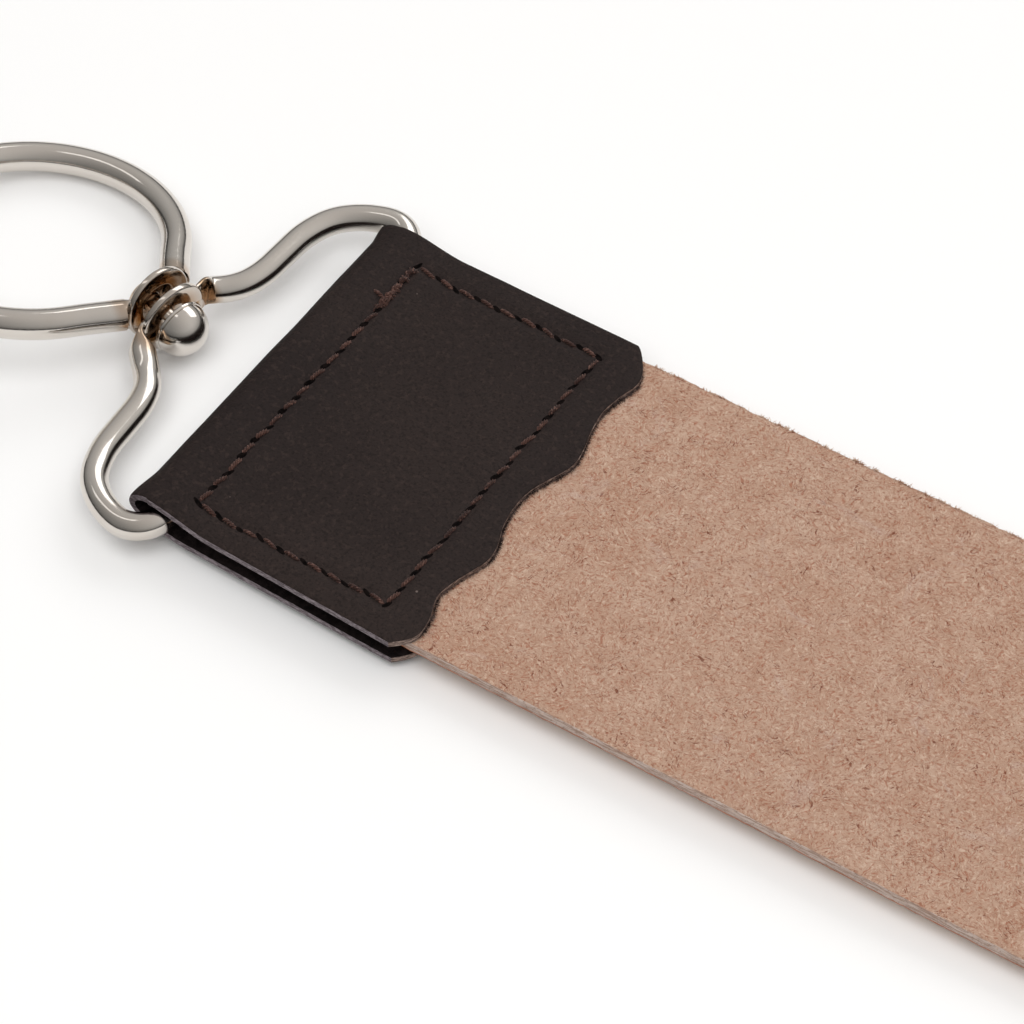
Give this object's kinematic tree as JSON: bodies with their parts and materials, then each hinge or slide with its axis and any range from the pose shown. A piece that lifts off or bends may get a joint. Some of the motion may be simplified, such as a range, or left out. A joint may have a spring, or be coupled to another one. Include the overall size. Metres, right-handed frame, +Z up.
{
  "type": "leather strop",
  "caption": "Hanging strop: a flat rough-out leather band, a stitched dark leather tab holding a wire bail with a ball swivel and ring, and a stitched leather grip.",
  "frame": {"origin": "bottom centre of the whole strop as it lies flat on a table with its ring and bail laid out straight", "axes": "+X along the strop from the hanging ring to the grip, +Y across the strop, +Z up out of the face that is stropped on"},
  "size_m": [0.5528, 0.0706, 0.013],
  "materials": {
    "natural_leather": "rough-out natural vegetable-tanned leather, flesh side up",
    "dark_leather": "smooth dark brown leather, matt",
    "sewing_thread": "twisted red-brown sewing thread",
    "nickel_plate": "polished nickel-plated steel wire, slightly warm"
  },
  "bodies": {
    "strop": {"strop_band": "natural_leather", "hardware_tab": "dark_leather", "tab_thread_top": "sewing_thread", "tab_thread_bottom": "sewing_thread", "grip_front_cover": "dark_leather", "grip_back_cover": "dark_leather", "grip_thread_front": "sewing_thread", "grip_thread_back": "sewing_thread"},
    "bail": {"bail_loop": "nickel_plate"},
    "rivet": {"swivel_rivet": "nickel_plate", "rivet_burr": "nickel_plate"},
    "ring": {"hanging_ring": "nickel_plate"}
  },
  "joints": [
    {"name": "bail_hinge", "type": "hinge", "parent": "strop", "child": "bail", "pos_m": [-0.20681, 0, 0.0053], "axis": [0, 1, 0], "range_deg": [-120, 120]},
    {"name": "rivet_turn", "type": "hinge", "parent": "bail", "child": "rivet", "pos_m": [-0.22591, -0.0001, 0.0056], "axis": [0.9686, -0.2059, -0.1392], "continuous": true},
    {"name": "ring_turn", "type": "hinge", "parent": "rivet", "child": "ring", "pos_m": [-0.22591, -0.0001, 0.0056], "axis": [0.9686, -0.2059, -0.1392], "continuous": true}
  ]
}
